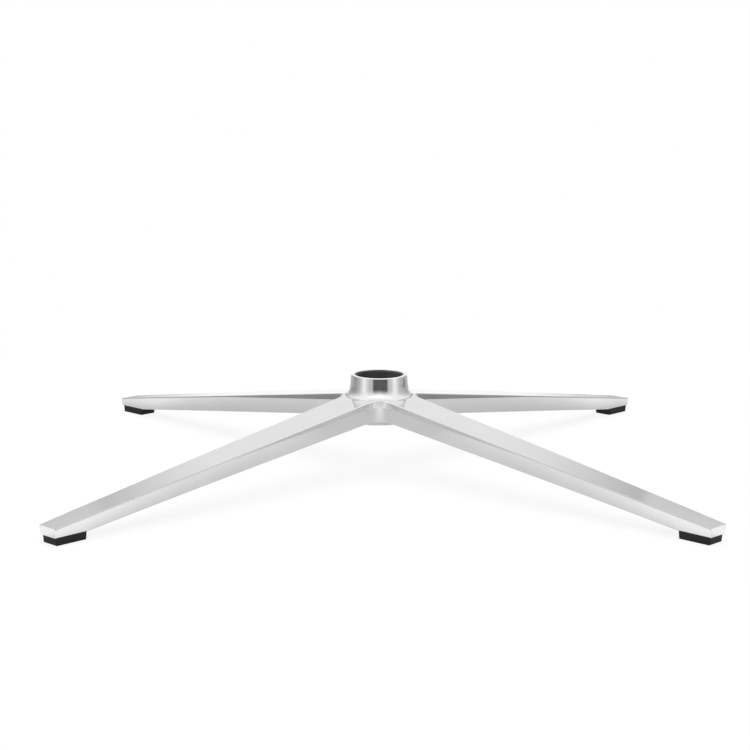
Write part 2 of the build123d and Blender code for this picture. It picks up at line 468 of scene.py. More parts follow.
class Flare:
    """Hollow curve from the collar to the arm's top, in upright planes through the hub axis.

    It is a conic that touches the collar's drafted wall and the line in which a plane cuts the arm's top.
    """

    def __init__(self, hub: "HubForm", cosine: Array) -> None:
        """Find the corner where wall and line would meet, and how far the conic reaches from it.

        Along the top it reaches the tangent length of a circle, and up the wall it reaches further.

        Args:
            hub: The hub's sizes.
            cosine: Cosine of each plane's angle from the arm.
        """
        draft = hub.draft
        self.slope = np.arctan(hub.arm.top_slope * cosine)
        wall = hub.radius * cos(draft) + hub.top * sin(draft)
        line = hub.arm.top_root * np.cos(self.slope)
        radius = wall * np.cos(self.slope) - line * sin(draft)
        height = line * cos(draft) - wall * np.sin(self.slope)
        self.corner = np.stack([radius, height]) / np.cos(draft + self.slope)
        half_turn = (pi / 2 - draft - self.slope) / 2
        self.weight = np.cos(half_turn)
        reach = hub.flare * np.tan(half_turn)
        self.length = (hub.flare_rise + 1) * reach
        self.climb = hub.flare_rise * np.stack([-reach * sin(draft), reach * cos(draft)])
        self.out = np.stack([reach * np.cos(self.slope), -reach * np.sin(self.slope)])
        self.start = (self.corner + self.climb)[0]
        self.foot = (self.corner + self.out)[0]

    def point(self, share: Array) -> Array:
        """Point of the conic at a share of the way from the collar to the foot.

        Args:
            share: The share, of the same shape as the planes.

        Returns:
            Radius and height, along a new first axis.
        """
        rest = 1 - share
        total = rest**2 + 2 * self.weight * share * rest + share**2
        return self.corner + (self.climb * rest**2 + self.out * share**2) / total

    def share(self, radius: Array) -> Array:
        """Share of the way at which the conic has a radius: its quadratic, solved.

        Args:
            radius: The radius, held between the radii of the two ends.

        Returns:
            Shares from 0 at the collar to 1 at the foot.
        """
        radius = np.clip(radius, self.start, self.foot)
        middle = self.weight * (radius - self.corner[0])
        root = middle + np.sqrt(middle**2 + (radius - self.start) * (self.foot - radius))
        return root / (root + self.foot - radius)


@dataclass(frozen=True)
class HubForm:
    """Collar, flare, corners between the arms, lower boss and bore."""

    arm: ArmForm
    radius: float = 24.2 * MM
    top: float = 82.4 * MM
    bottom: float = 41.7 * MM
    draft: float = radians(4.0)
    flare: float = 6.5 * MM
    flare_rise: float = 1.65
    flare_satin: float = 0.45
    corner: float = 14.0 * MM
    rim_round: float = 0.6 * MM
    mouth_round: float = 0.3 * MM
    bottom_break: float = 0.5 * MM
    bore: float = 21.0 * MM
    lip: float = 19.6 * MM
    lip_top: float = 44.7 * MM
    straight_steps: int = 3
    corner_steps: int = 12
    flare_steps: int = 24
    wall_steps: int = 4
    round_steps: int = 4
    boss_rows: int = 4

    def surface(self, along: Array, across: Array) -> Array:
        """Height of the flare, and of the arm's top beyond its foot.

        Args:
            along: Distance along the arm.
            across: Distance across it.

        Returns:
            Heights, of the same shape.
        """
        radius = np.hypot(along, across)
        flare = Flare(self, along / radius)
        arc = flare.point(flare.share(radius))[1]
        return np.where(radius < flare.foot, arc, self.arm.top(along))

    def side_path(self) -> tuple[Array, Array]:
        """Plan line of the upright wall: straight from the hollow's start, then the corner's arc.

        Returns:
            Points and inward directions, each of shape (columns, 2).
        """
        fall = (self.arm.width_root - self.arm.width_tip) / 2 / self.arm.reach
        normal = np.array([fall, 1.0]) / sqrt(1 + fall**2)
        centre = (self.arm.width_root / 2 + self.corner * sqrt(1 + fall**2)) / (1 + fall)
        touch = centre - self.corner * normal
        share = np.linspace(0.0, 1.0, self.straight_steps + 1)
        start = self.arm.hollow_start
        along = start + (touch[0] - start) * share
        straight = stack(along, self.arm.upright_half(along))
        inward = -stack(fall * share, np.ones_like(share))
        inward /= np.linalg.norm(inward, axis=1, keepdims=True)
        first, middle = np.arctan2(-normal[1], -normal[0]), -3 * pi / 4
        angle = np.linspace(first, middle, self.corner_steps + 1)[1:]
        spoke = stack(np.cos(angle), np.sin(angle))
        return np.concatenate([straight, centre + self.corner * spoke]), np.concatenate([inward, spoke])

    def wall(self) -> Array:
        """Side wall round the corner: the arm's side profile carried along the plan line.

        Returns:
            Points, shape (columns, rows, 3), from the top edge down.
        """
        path, inward = self.side_path()
        along = path[:, 0]
        across, up = self.arm.side(along, np.zeros_like(along))
        offset = self.arm.upright_half(along)[:, None] - across
        low, high = self.arm.under(along)[:, None], self.arm.top(along)[:, None]
        share = (up - low) / (high - low)
        plan = path[:, None] + offset[..., None] * inward[:, None]
        low, high = self.arm.under(plan[..., 0]), self.surface(plan[..., 0], plan[..., 1])
        return stack(plan[..., 0], plan[..., 1], low + share * (high - low))

    def wall_satin_and_painted_shade(self) -> Array:
        """Satin share of the wall: towards the corner the upright band loses its higher share, and with it
        the painted shade of its darker band colour.

        Returns:
            Shares, shape (columns, rows).
        """
        side = self.arm.side_satin_and_painted_shade(self.side_path()[0][:, 0])
        column = np.arange(len(side))[:, None]
        share = np.clip(1.0 - column / (self.straight_steps + self.corner_steps / 2), 0.0, 1.0)
        return np.where(side > HALF_SATIN, HALF_SATIN + share * (side - HALF_SATIN), side)

    def ends(self, across: Array, edge: Array) -> Array:
        """Plan points where the hub's columns end: the arm's first section, then an edge of the wall.

        Args:
            across: Places across the first section, from the middle out.
            edge: The wall's upper or lower edge, shape (columns, 3).

        Returns:
            Points, shape (ends, 2).
        """
        section = stack(np.array([self.arm.hollow_start]), across)
        return np.concatenate([section, edge[:, :2]])

    def rim(self) -> Array:
        """Radius and height of the rim's rows, from the bore's mouth over the rounded edge to the collar.

        Returns:
            Rows of radius and height.
        """
        turn = np.linspace(pi, pi / 2, self.round_steps + 1)
        mouth = self.mouth_round * stack(np.cos(turn), np.sin(turn))
        mouth += np.array([self.bore + self.mouth_round, self.top - self.mouth_round])
        height = self.top - self.rim_round
        wall = self.radius * cos(self.draft) + self.top * sin(self.draft) - self.rim_round
        turn = np.linspace(pi / 2, self.draft, self.round_steps + 1)
        edge = self.rim_round * stack(np.cos(turn), np.sin(turn))
        edge += np.array([(wall - height * sin(self.draft)) / cos(self.draft), height])
        return np.concatenate([mouth, edge])

    def upper(self, ends: Array) -> Array:
        """Rim, collar, flare and the flat beyond it, in upright planes through the axis.

        Each column leaves the collar along the flare and, past its foot, along the arm's top.

        Args:
            ends: Plan points where the columns end.

        Returns:
            Points, shape (rows, columns, 3).
        """
        radius = np.hypot(ends[:, 0], ends[:, 1])
        cosine, sine = ends[:, 0] / radius, ends[:, 1] / radius
        flare = Flare(self, np.tile(cosine, (self.flare_steps + 1, 1)))
        last = flare.length * flare.share(radius)
        flat = np.maximum(radius - flare.foot, 0.0) / np.cos(flare.slope)
        run = np.linspace(0.0, 1.0, self.flare_steps + 1)[:, None] * (last + flat)
        beyond = np.maximum(run - last, 0.0)
        lower = flare.point(np.minimum(run, last) / flare.length)
        lower += np.stack([beyond * np.cos(flare.slope), -beyond * np.sin(flare.slope)])
        rim = np.repeat(self.rim().T[..., None], len(ends), axis=2)
        share = np.linspace(0.0, 1.0, self.wall_steps + 1)[1:-1, None]
        collar = rim[:, -1:] + share * (lower[:, :1] - rim[:, -1:])
        radii, heights = np.concatenate([rim, collar, lower], axis=1)
        return stack(radii * cosine, radii * sine, heights)

    def upper_satin(self, points: Array) -> Array:
        """Satin share of the upper rows: none but on the flare, where it swells to its middle.

        Args:
            points: The upper rows' points.

        Returns:
            Shares, shape (rows, columns).
        """
        radius = np.hypot(points[..., 0], points[..., 1])
        flare = Flare(self, points[..., 0] / radius)
        share = np.clip((radius - flare.start) / (flare.foot - flare.start), 0.0, 1.0)
        return self.flare_satin * np.sin(pi * np.sqrt(share))

    def lower_profile(self) -> Array:
        """Radius and height of the rows of the lower boss, its lip and the foot of the bore."""
        return np.array([
            (self.radius, self.bottom + self.bottom_break),
            (self.radius - self.bottom_break, self.bottom),
            (self.lip, self.bottom),
            (self.lip, self.lip_top),
            (self.bore, self.lip_top),
        ])

    def lower_satin_and_painted_shade(self) -> Array:
        """Satin share of the lower rows: half, and all of it on the boss below the arms, where the full share
        paints the darker band colour on the boss as painted shade under the hub.

        Returns:
            Shares, shape (rows, 1).
        """
        rows = 2 * self.wall_steps + 1 + len(self.lower_profile())
        boss = np.isin(np.arange(rows), self.wall_steps + np.arange(self.boss_rows))
        return np.where(boss, 1.0, HALF_SATIN)[:, None]

    def lower(self, ends: Array, top_angle: Array) -> Array:
        """Underside, lower boss, lip and bore, up to the rim's mouth.

        Args:
            ends: Plan points where the columns start on the underside.
            top_angle: Angle of each column at the mouth, to which the bore's columns turn.

        Returns:
            Points, shape (rows, columns, 3).
        """
        angle = np.arctan2(ends[:, 1], ends[:, 0])
        outer = np.hypot(ends[:, 0], ends[:, 1])
        share = np.linspace(0.0, 1.0, self.wall_steps + 1)[:, None]
        radii = outer + share * (self.radius - outer)
        heights = self.arm.under(radii * np.cos(angle))
        climb = self.lip_top + share[1:] * (self.top - self.mouth_round - self.lip_top)
        profile = np.concatenate([self.lower_profile(), np.insert(climb, 0, self.bore, axis=1)])
        rows = np.repeat(profile[:, None], len(ends), axis=1)
        radii = np.concatenate([radii, rows[..., 0]])
        heights = np.concatenate([heights, rows[..., 1]])
        turn = np.zeros((len(radii), 1))
        turn[-len(climb):] = share[1:]
        angles = angle + turn * (top_angle - angle)
        return stack(radii * np.cos(angles), radii * np.sin(angles), heights)

    def half_sector(self) -> list[tuple[Array, Array]]:
        """The hub from the middle of an arm to the corner beside it.

        Returns:
            Grids of points along, across and up, each with its shares of roughness and painted shade.
        """
        wall = self.wall()
        start, inset = np.array([self.arm.hollow_start]), np.zeros(1)
        flat = self.arm.side(start, inset)[0][0, 0] * np.array(self.arm.top_shares)
        top_ends = self.ends(flat, wall[:, 0])
        under_ends = self.ends(self.arm.hollow_halves(start, inset)[0][::-1], wall[:, -1])
        upper = self.upper(top_ends)
        lower = self.lower(under_ends, np.arctan2(top_ends[:, 1], top_ends[:, 0]))
        return [(wall, self.wall_satin_and_painted_shade()), (upper, self.upper_satin(upper)), (lower, self.lower_satin_and_painted_shade())]


@dataclass(frozen=True)
class Grain:
    """A noise pattern: cycles for each metre in three directions, and the number of finer layers."""

    scale: Triple
    detail: float


class NodeSheet(Generic[Owner]):
    """Shader nodes of one material or of the world."""

    def __init__(self, owner: Owner) -> None:
        """Start with only the output node.

        Args:
            owner: The new material or world.
        """
        self.owner = owner
        owner.use_nodes = True
        self.tree = owner.node_tree
        self.tree.nodes.clear()
        self.output = self.add("OutputWorld" if isinstance(owner, World) else "OutputMaterial")

    def join(self, value: NodeSocket | object, socket: NodeSocket) -> None:
        """Link an output to an input, or set the input to a plain value.

        Args:
            value: The output socket or the value.
            socket: The input.
        """
        if isinstance(value, NodeSocket):
            self.tree.links.new(value, socket)
        else:
            socket.default_value = value

    def add(self, kind: str, settings: dict[str, object] | None = None, **inputs: object) -> Node:
        """Add a node.

        Args:
            kind: The node's type, without the ShaderNode at its start.
            settings: Properties of the node.
            inputs: Values or output sockets for its inputs, with _ for a space in their names.

        Returns:
            The node.
        """
        node = self.tree.nodes.new("ShaderNode" + kind)
        for name, value in (settings or {}).items():
            setattr(node, name, value)
        for name, value in inputs.items():
            self.join(value, node.inputs[name.replace("_", " ")])
        return node

    def place(self, kind: str = "Object") -> NodeSocket:
        """Coordinates of the shaded point."""
        return self.add("TexCoord").outputs[kind]

    def axes(self, kind: str = "Object") -> NodeOutputs:
        """Coordinates of the shaded point as three numbers, X, Y and Z."""
        return self.add("SeparateXYZ", Vector=self.place(kind)).outputs

    def attribute(self, name: str, output: str) -> NodeSocket:
        """Value of a point attribute."""
        return self.add("Attribute", {"attribute_name": name}).outputs[output]

    def math(self, operation: str, *values: NodeSocket | float) -> NodeSocket:
        """Number worked out from one or two others.

        Args:
            operation: What is done with them, as the node names it.
            values: The numbers.

        Returns:
            The result.
        """
        node = self.add("Math", {"operation": operation})
        for value, socket in zip(values, node.inputs):
            self.join(value, socket)
        return node.outputs[0]

    def ramp(
        self, value: NodeSocket, limits: Pair, levels: Pair = (0.0, 1.0), kind: str = "SMOOTHSTEP"
    ) -> NodeSocket:
        """Level that goes from one to another while a value goes from one limit to another.

        Args:
            value: The value.
            limits: The two limits.
            levels: The two levels.
            kind: How the level goes between them, as the node names it.

        Returns:
            The level.
        """
        node = self.add("MapRange", {"interpolation_type": kind}, Value=value)
        for number, socket in zip((*limits, *levels), node.inputs[1:5]):
            self.join(number, socket)
        return node.outputs[0]

    def noise(self, vector: NodeSocket, grain: Grain) -> NodeSocket:
        """Noise of a grain, mostly between the limits of the noise range."""
        mapping = self.add("Mapping", Vector=vector, Scale=grain.scale)
        return self.add("TexNoise", Vector=mapping.outputs[0], Scale=1.0, Detail=grain.detail).outputs["Fac"]

    def spread(self, value: NodeSocket, levels: Pair = (0.0, 1.0)) -> NodeSocket:
        """Spread a noise value evenly between two levels."""
        return self.ramp(value, NOISE_RANGE, levels, "LINEAR")

    def between(self, value: NodeSocket, first: NodeSocket | float, second: NodeSocket | float) -> NodeSocket:
        """Number between two, the first where the value is 0 and the second where it is 1."""
        return self.add("Mix", {"data_type": "FLOAT"}, Factor=value, A=first, B=second).outputs[0]

    def blend(self, value: NodeSocket, *colours: Triple | NodeSocket) -> NodeSocket:
        """Colour between two, by a value.

        Args:
            value: 0 for the first colour, 1 for the second.
            colours: The two colours, each as red, green and blue or as a socket.

        Returns:
            The colour.
        """
        mix = self.add("Mix", {"data_type": "RGBA"}, Factor=value)
        for colour, socket in zip(colours, (mix.inputs[6], mix.inputs[7])):
            self.join(colour if isinstance(colour, NodeSocket) else (*colour, 1.0), socket)
        return mix.outputs[2]

    def glow(self, level: NodeSocket | float, colour: NodeSocket | tuple[float, ...] = WHITE) -> Node:
        """Shader that glows at a level."""
        return self.add("Emission", Color=colour, Strength=level)

    def mix(self, share: NodeSocket, first: Node, second: Node) -> Node:
        """Shader between two, by a share.

        Args:
            share: 0 for the first shader, 1 for the second.
            first: The first shader.
            second: The second shader.

        Returns:
            The mixed shader.
        """
        mix = self.add("MixShader", Fac=share)
        self.join(first.outputs[0], mix.inputs[1])
        self.join(second.outputs[0], mix.inputs[2])
        return mix

    def finish(self, shader: Node) -> Owner:
        """Join the last shader to the output, and give back the material or world."""
        self.join(shader.outputs[0], self.output.inputs["Surface"])
        return self.owner


@dataclass(frozen=True)
class PolishedCasting:
    """Polished aluminium: fine polishing lines along the arms, a little cloudy, rougher in places, with
    painted shade in a darker band colour.
    """

    slot: str = "polished_casting"
    bright: Triple = (0.88, 0.88, 0.88)
    dull: Triple = (0.83, 0.83, 0.835)
    # Painted shade: the darker colour of the upright bands, the outer top edges and the lower boss, standing
    # for the darker surroundings that they reflect.
    band: Triple = (0.66, 0.66, 0.665)
    roughness: Pair = (0.07, 0.14)
    satin_roughness: Pair = (0.3, 0.38)
    lines: Grain = Grain((14.0, 2600.0, 2600.0), 3.0)
    clouds: Grain = Grain((28.0, 60.0, 60.0), 4.0)
    line_depth: float = 0.008 * MM
    line_strength: float = 0.25

    def material(self) -> Material:
        """Build the material.

        Returns:
            The material.
        """
        sheet = NodeSheet(bpy.data.materials.new("polished_aluminium"))
        lay, satin_and_painted_shade = sheet.attribute(LAY, "Vector"), sheet.attribute(SATIN_AND_PAINTED_SHADE, "Fac")
        clouds = sheet.noise(lay, self.clouds)
        lines = sheet.noise(lay, self.lines)
        bump = sheet.add("Bump", Strength=self.line_strength, Distance=self.line_depth, Height=lines)
        colour = sheet.blend(sheet.spread(clouds), self.bright, self.dull)
        # Painted shade: from a share of a half up to 1 the colour turns to the darker band colour.
        upright = sheet.ramp(satin_and_painted_shade, (HALF_SATIN, 1.0), kind="LINEAR")
        polished, rough = sheet.spread(clouds, self.roughness), sheet.spread(clouds, self.satin_roughness)
        shader = sheet.add(
            "BsdfPrincipled",
            Base_Color=sheet.blend(upright, colour, self.band),
            Metallic=1.0,
            Roughness=sheet.between(satin_and_painted_shade, polished, rough),
            Normal=bump.outputs[0],
        )
        return sheet.finish(shader)


@dataclass(frozen=True)
class BlackPlastic:
    """Black moulded plastic with a fine grain."""

    name: str
    slot: str
    dark: Triple = (0.009, 0.009, 0.0095)
    pale: Triple = (0.016, 0.016, 0.0165)
    roughness: Pair = (0.38, 0.52)
    gloss: float = 0.2
    grain: Grain = Grain((2400.0, 2400.0, 2400.0), 2.0)
    patches: Grain = Grain((90.0, 90.0, 90.0), 3.0)
    grain_depth: float = 0.03 * MM
    grain_strength: float = 0.35

    def material(self) -> Material:
        """Build the material.

        Returns:
            The material.
        """
        sheet = NodeSheet(bpy.data.materials.new(self.name))
        place = sheet.place()
        grain, patches = sheet.noise(place, self.grain), sheet.noise(place, self.patches)
        bump = sheet.add("Bump", Strength=self.grain_strength, Distance=self.grain_depth, Height=grain)
        shader = sheet.add(
            "BsdfPrincipled",
            Base_Color=sheet.blend(sheet.spread(patches), self.dark, self.pale),
            Roughness=sheet.spread(patches, self.roughness),
            Specular_IOR_Level=self.gloss,
            Normal=bump.outputs[0],
        )
        return sheet.finish(shader)


@dataclass(frozen=True)
class ZincPlate:
    """Bright zinc on steel, slightly mottled."""

    slot: str = "zinc_steel"
    silver: Triple = (0.62, 0.63, 0.64)
    straw: Triple = (0.66, 0.63, 0.54)
    roughness: Pair = (0.22, 0.38)
    mottle: Grain = Grain((700.0, 700.0, 700.0), 3.0)
    wear: Grain = Grain((1500.0, 1500.0, 1500.0), 2.0)

    def material(self) -> Material:
        """Build the material.

        Returns:
            The material.
        """
        sheet = NodeSheet(bpy.data.materials.new("zinc_plated_steel"))
        place = sheet.place()
        shader = sheet.add(
            "BsdfPrincipled",
            Base_Color=sheet.blend(sheet.spread(sheet.noise(place, self.mottle)), self.silver, self.straw),
            Metallic=1.0,
            Roughness=sheet.spread(sheet.noise(place, self.wear), self.roughness),
        )
        return sheet.finish(shader)


def place_piece(piece: Object, material: Material, slot: str, *nodes: str) -> None:
    """Give a piece its finish and let it stand for its nodes.

    Args:
        piece: The finished piece.
        material: Its material.
        slot: The record's material slot; not used.
        nodes: The nodes that the piece stands for.
    """
    piece.data.materials.append(material)
    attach(piece, BODY)
    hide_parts(*nodes)
    log.info("%s: %d faces", piece.name, len(piece.data.polygons))


@dataclass
class BaseCasting:
    """The hub and the four arms, cast in one and polished."""

    arm: ArmForm = field(default_factory=ArmForm)
    finish: PolishedCasting = field(default_factory=PolishedCasting)
    sharp_angle: float = 38.0

    def build(self) -> Object:
        """Build the casting's mesh from half an arm and half a hub sector, on both sides of each arm.

        Returns:
            The piece.
        """
        work = Patchwork()
        work.add_on_arms(self.arm.half_arm(), self.arm.section_satin_and_painted_shade(self.arm.sections()[0]))
        for grid, satin_and_painted_shade in HubForm(self.arm).half_sector():
            work.add_on_arms(grid, satin_and_painted_shade)
        return work.piece("polished_base", self.sharp_angle)

    def dress(self) -> None:
        """Build the casting and give it its finish."""
        place_piece(self.build(), self.finish.material(), self.finish.slot, "base_casting")


@dataclass
class ColumnSleeve:
    """Black tube that lines the hub."""

    inner: float = 19.0 * MM
    outer: float = 20.9 * MM
    foot: float = 44.7 * MM
    top: float = 81.8 * MM
    lead_in: float = 0.6 * MM
    edge: float = 0.2 * MM
    columns: int = 160
    sharp_angle: float = 30.0
    finish: BlackPlastic = BlackPlastic(
        "black_sleeve_plastic", "black_sleeve", (0.05, 0.05, 0.051), (0.075, 0.075, 0.076), (0.5, 0.62), 0.1
    )

    def build(self) -> Object:
        """Carry the tube's closed profile round the axis.

        Returns:
            The piece.
        """
        middle = (self.foot + self.top) / 2
        profile = [
            (self.outer, self.foot + self.edge),
            (self.outer, middle),
            (self.outer, self.top - self.edge),
            (self.outer - self.edge, self.top),
            (self.inner + self.lead_in, self.top),
            (self.inner, self.top - self.lead_in),
            (self.inner, middle),
            (self.inner, self.foot),
            (self.outer - self.edge, self.foot),
            (self.outer, self.foot + self.edge),
        ]
        tube = revolved(np.array(profile), self.columns)
        work = Patchwork()
        work.add(tube, tube, ring=True)
        return work.piece("column_sleeve_lining", self.sharp_angle)

    def dress(self) -> None:
        """Build the sleeve and give it its finish."""
        place_piece(self.build(), self.finish.material(), self.finish.slot, "column_sleeve")


@dataclass
class FootPads:
    """Four tapered black pads with countersunk holes."""

    length: float = 27.2 * MM
    width: float = 17.1 * MM
    height: float = 6.2 * MM
    draft: float = 5.0
    corner: float = 1.2 * MM
    edge: float = 0.4 * MM
    head_hole: float = 3.95 * MM
    shank_hole: float = 2.15 * MM
    sink: float = 1.25 * MM
    corner_steps: int = 6
    edge_steps: int = 4
    sharp_angle: float = 40.0
    finish: BlackPlastic = BlackPlastic("black_pad_plastic", "black_pad")

    def outline(self, grow: Array) -> Array:
        """Rounded rectangle: four corner arcs, joined by straight sides.

        Args:
            grow: How far each row's outline stands outside the one on the floor.

        Returns:
            Plan points, shape (rows, columns, 2).
        """
        quarter = np.linspace(0.0, pi / 2, self.corner_steps)
        angle = (quarter + np.arange(4)[:, None] * pi / 2).ravel()
        side_x = np.repeat([1, -1, -1, 1], self.corner_steps) * (self.length / 2 - self.corner)
        side_y = np.repeat([1, 1, -1, -1], self.corner_steps) * (self.width / 2 - self.corner)
        radius = self.corner + grow[:, None]
        return stack(side_x + radius * np.cos(angle), side_y + radius * np.sin(angle))

    def hole(self, radii: Array) -> Array:
        """Circles round the screw's axis, with their points facing the outline's.

        Args:
            radii: Radius of each row.

        Returns:
            Plan points, shape (rows, columns, 2).
        """
        outline = self.outline(np.zeros(1))[0]
        angle = np.arctan2(outline[:, 1], outline[:, 0])
        return radii[:, None, None] * stack(np.cos(angle), np.sin(angle))

    def local(self) -> Array:
        """One pad along its arm: rows down the drafted sides, round the floor edge, up the hole and back.

        Returns:
            Points along, across and up, shape (rows, columns, 3).
        """
        turn = np.linspace(0.0, pi / 2, self.edge_steps + 1)
        heights = np.concatenate([[self.height, self.height / 2], self.edge * (1 - np.sin(turn))])
        inset = np.concatenate([[0.0, 0.0], self.edge * (1 - np.cos(turn))])
        sides = self.outline(heights * tan(radians(self.draft)) - inset)
        hole = self.hole(np.array([self.head_hole, self.head_hole, self.shank_hole, self.shank_hole]))
        climbs = np.array([0.0, self.sink, self.sink + self.head_hole - self.shank_hole, self.height])
        plan = np.concatenate([sides, hole, sides[:1]])
        up = np.concatenate([heights, climbs, heights[:1]])[:, None]
        return stack(FOOT_CENTRE + plan[..., 0], plan[..., 1], up)

    def dress(self) -> None:
        """Build each pad as its own piece and give it its finish."""
        material = self.finish.material()
        pad = self.local()
        for arm in Arm:
            work = Patchwork()
            work.add(arm.turned(pad), pad, ring=True)
            piece = work.piece(f"pad_{arm.place}", self.sharp_angle)
            place_piece(piece, material, self.finish.slot, f"foot_pad_{arm.place}")


@dataclass
class FootScrews:
    """Four countersunk screws with hexagon sockets, heads down."""

    shank: float = 2.0 * MM
    head: float = 3.8 * MM
    low: float = 1.4 * MM
    high: float = 11.2 * MM
    edge: float = 0.15 * MM
    tip: float = 0.4 * MM
    socket: float = 1.25 * MM
    socket_depth: float = 1.3 * MM
    columns: int = 48
    sharp_angle: float = 30.0
    finish: ZincPlate = field(default_factory=ZincPlate)

    def local(self) -> Array:
        """One screw along its arm: the turned outline, then the hexagon of the socket.

        The hexagon's radius is half its width across flats, divided by the cosine of the angle from the
        middle of the nearest flat.

        Returns:
            Points along, across and up, shape (rows, columns, 3).
        """
        turned = [
            (0.0, self.high),
            (self.shank - self.tip, self.high),
            (self.shank, self.high - self.tip),
            (self.shank, self.low + self.edge + self.head - self.shank),
            (self.head, self.low + self.edge),
            (self.head - self.edge, self.low),
        ]
        body = revolved(np.array(turned), self.columns)
        angle = np.linspace(0.0, 2 * pi, self.columns, endpoint=False)
        flat = np.mod(angle + pi / 6, pi / 3) - pi / 6
        radii = self.socket / np.cos(flat) * np.array([[1.0], [1.0], [0.0]])
        heights = self.low + self.socket_depth * np.array([[0.0], [1.0], [1.0]])
        socket = stack(radii * np.cos(angle), radii * np.sin(angle), heights)
        return np.concatenate([body, socket]) + np.array([FOOT_CENTRE, 0.0, 0.0])

    def dress(self) -> None:
        """Build the screws as one piece and give it its finish."""
        work = Patchwork()
        work.add_on_arms(self.local(), ring=True)
        piece = work.piece("countersunk_screws", self.sharp_angle)
        place_piece(piece, self.finish.material(), self.finish.slot, "foot_screws")


@dataclass(frozen=True)
class PhotoCamera:
    """Camera in front of the base, a little above it, looking down between the two front arms."""

    distance: float = 1.52722
    height: float = 0.36370
    side: float = -0.00355
    pitch: float = 10.4717
    yaw: float = 0.7235
    roll: float = 0.1392
    lens: float = 86.079
    sensor: float = 36.0

    def build(self) -> None:
        """Make the camera and set it as the scene's."""
        data = bpy.data.cameras.new("photo_camera")
        data.lens = self.lens
        data.sensor_width = self.sensor
        camera = new_object("photo_camera", data)
        turned = Matrix.Rotation(-radians(self.yaw), 4, "Z")
        moved = Matrix.Translation((self.side, -self.distance, self.height))
        tipped = Matrix.Rotation(radians(90 - self.pitch), 4, "X")
        camera.matrix_world = turned @ moved @ tipped @ Matrix.Rotation(radians(self.roll), 4, "Z")
        bpy.context.scene.camera = camera


@dataclass(frozen=True)
class WhiteSweep:
    """White floor that sweeps up into a back wall."""

    half_width: float = 4.0
    gap: float = 0.05 * MM
    front: float = -4.0
    back: float = 2.2
    bend: float = 0.35
    top: float = 3.0
    bend_steps: int = 12
    paint: float = 0.85
    shadow_range: Pair = (0.35, 0.75)
    shadow_share: float = 0.85
    grey_heights: Pair = (0.5, 0.8)
    inner_range: Pair = (0.45, 1.05)
    inner_levels: Pair = (0.88, 0.35)
    outer_range: Pair = (1.1, 1.45)
    outer_rise: float = 0.55

    def build(self) -> None:
        """Carry the profile of floor, round sweep and wall sideways."""
        turn = np.linspace(-pi / 2, 0.0, self.bend_steps + 1)
        bend_y = self.back - self.bend + self.bend * np.cos(turn)
        bend_z = self.bend + self.bend * np.sin(turn)
        y = np.concatenate([[self.front], bend_y, [self.back]])[:, None]
        z = np.concatenate([[0.0], bend_z, [self.top]])[:, None] - self.gap
        x = np.array([-self.half_width, self.half_width])
        mesh = new_mesh("white_sweep", stack(x, y, z), grid_quads(len(y), len(x)))
        shade_smooth(mesh)
        mesh.materials.append(self.material())
        surface = new_object("white_sweep", mesh)

    def material(self) -> Material:
        """White that keeps a soft shadow near the base, and is plain white further off.

        High on the wall the white gives way to grey at the sides, and to white again beyond.

        Returns:
            The material.
        """
        sheet = NodeSheet(bpy.data.materials.new("white_sweep"))
        axes = sheet.axes()
        flat = sheet.add("CombineXYZ", X=axes["X"], Y=axes["Y"])
        away = sheet.add("VectorMath", {"operation": "LENGTH"}, Vector=flat.outputs[0]).outputs["Value"]
        plain = sheet.ramp(away, self.shadow_range, (self.shadow_share, 1.0))
        path = sheet.add("LightPath").outputs
        seen = sheet.math("MAXIMUM", path["Is Camera Ray"], path["Is Glossy Ray"])
        seen = sheet.math("MAXIMUM", seen, path["Is Transmission Ray"])
        aside = sheet.math("ABSOLUTE", axes["X"])
        inner = sheet.ramp(aside, self.inner_range, self.inner_levels)
        outer = sheet.ramp(aside, self.outer_range, (0.0, self.outer_rise))
        high = sheet.ramp(axes["Z"], self.grey_heights)
        glow = sheet.glow(sheet.between(high, 1.0, sheet.math("ADD", inner, outer)))
        paint = sheet.add("BsdfDiffuse", Color=(self.paint, self.paint, self.paint, 1.0))
        return sheet.finish(sheet.mix(sheet.math("MULTIPLY", plain, seen), paint, glow))


